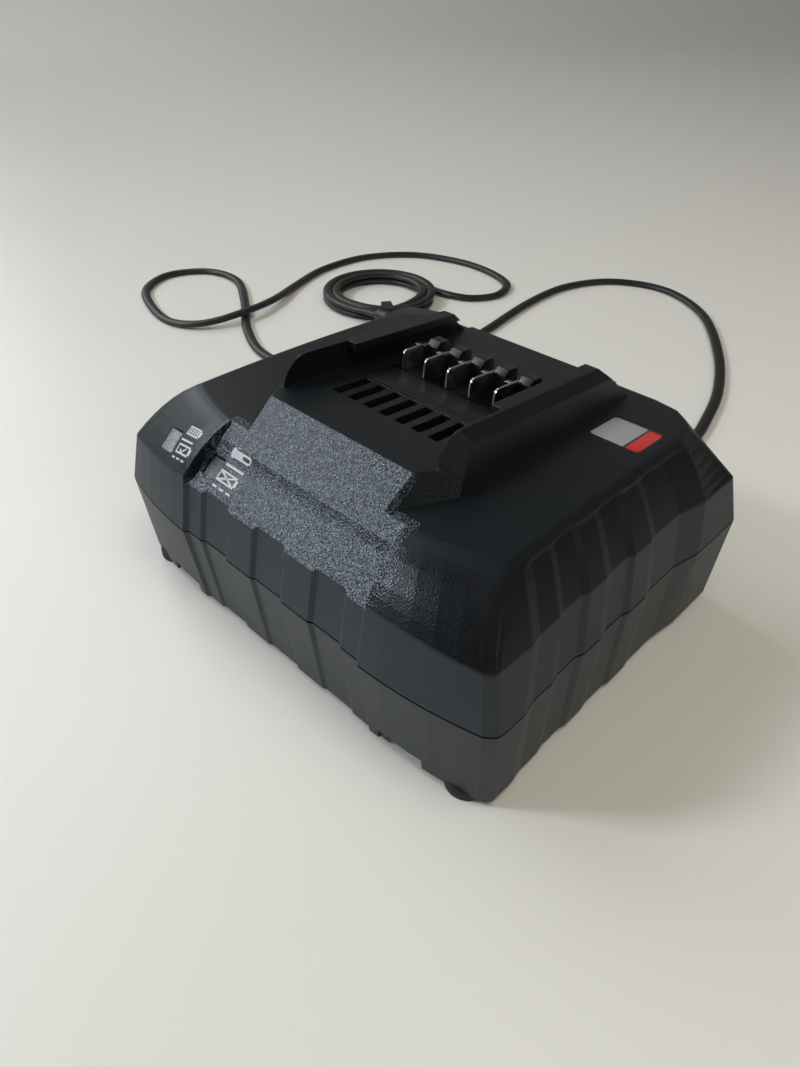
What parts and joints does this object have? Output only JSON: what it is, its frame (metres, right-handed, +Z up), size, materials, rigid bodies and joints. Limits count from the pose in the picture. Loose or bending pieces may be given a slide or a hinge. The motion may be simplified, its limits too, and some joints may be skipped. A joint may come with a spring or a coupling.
{
  "type": "power tool battery charger",
  "caption": "Slide-on battery charger: rib-stepped housing with a sloped nose, railed dock with blade contacts and air slots, fan-cooled electronics, and a flat mains lead ending in a plug.",
  "frame": {"origin": "centre of the charger's footprint, on the table under its rubber feet", "axes": "+Z up, +X to the right seen from the front, +Y to the rear wall where the mains lead comes out"},
  "size_m": [0.4082, 0.3877, 0.0826],
  "materials": {
    "lower_shell": "fine matte texture",
    "upper_shell": "satin on the wings and deck, spark-eroded texture on the nose and slopes",
    "carrier_plastic": "semi-gloss",
    "contact_metal": "bright nickel",
    "window_plastic": "milky translucent",
    "badge_plate": "smooth",
    "circuit_board": "solder mask",
    "screw_steel": "zinc plated",
    "ferrite": "matte",
    "bobbin_plastic": "matte",
    "winding": "enamelled wire",
    "capacitor_sleeve": "shrink sleeve",
    "film_capacitor": "moulded",
    "heatsink": "extruded",
    "choke": "lacquered",
    "fuse_glass": "clear",
    "terminal_plastic": "matte",
    "wire_insulation": "matte",
    "duct_plastic": "matte",
    "fan_plastic": "matte",
    "foot_rubber": "matte",
    "lead_rubber": "satin",
    "tie_plastic": "matte",
    "plug_plastic": "satin",
    "pin_metal": "nickel plated"
  },
  "bodies": {
    "charger": {"lower_housing": "lower_shell", "upper_housing": "upper_shell", "contact_carrier": "carrier_plastic", "contact_blade_1": "contact_metal", "contact_blade_2": "contact_metal", "contact_blade_3": "contact_metal", "contact_blade_4": "contact_metal", "contact_blade_5": "contact_metal", "light_window_left": "window_plastic", "light_window_nose": "window_plastic", "light_board": "circuit_board", "light_board_screws": "screw_steel", "badge_plate": "badge_plate", "circuit_board": "circuit_board", "board_screws": "screw_steel", "transformer_core": "ferrite", "transformer_bobbin": "bobbin_plastic", "transformer_winding": "winding", "mains_capacitor_front": "capacitor_sleeve", "mains_capacitor_rear": "capacitor_sleeve", "output_capacitors": "capacitor_sleeve", "filter_capacitor": "film_capacitor", "primary_heatsink": "heatsink", "secondary_heatsink": "heatsink", "line_choke": "choke", "fuse": "fuse_glass", "terminal_block": "terminal_plastic", "inlet_wires": "wire_insulation", "output_wires": "wire_insulation", "contact_board": "circuit_board", "air_duct": "duct_plastic", "duct_screws": "screw_steel", "fan_frame": "duct_plastic", "fan_screws": "screw_steel", "housing_screws": "screw_steel", "rubber_foot_1": "foot_rubber", "rubber_foot_2": "foot_rubber", "rubber_foot_3": "foot_rubber", "rubber_foot_4": "foot_rubber", "strain_relief": "lead_rubber", "mains_lead": "lead_rubber", "lead_coil": "lead_rubber", "coil_tie": "tie_plastic", "plug_lead": "lead_rubber", "plug_body": "plug_plastic", "plug_pins": "pin_metal"},
    "fan": {"fan_rotor": "fan_plastic"}
  },
  "joints": [
    {"name": "fan_spin", "type": "hinge", "parent": "charger", "child": "fan", "pos_m": [0, -0.0095, 0.0439], "axis": [0, 0, 1], "continuous": true}
  ]
}
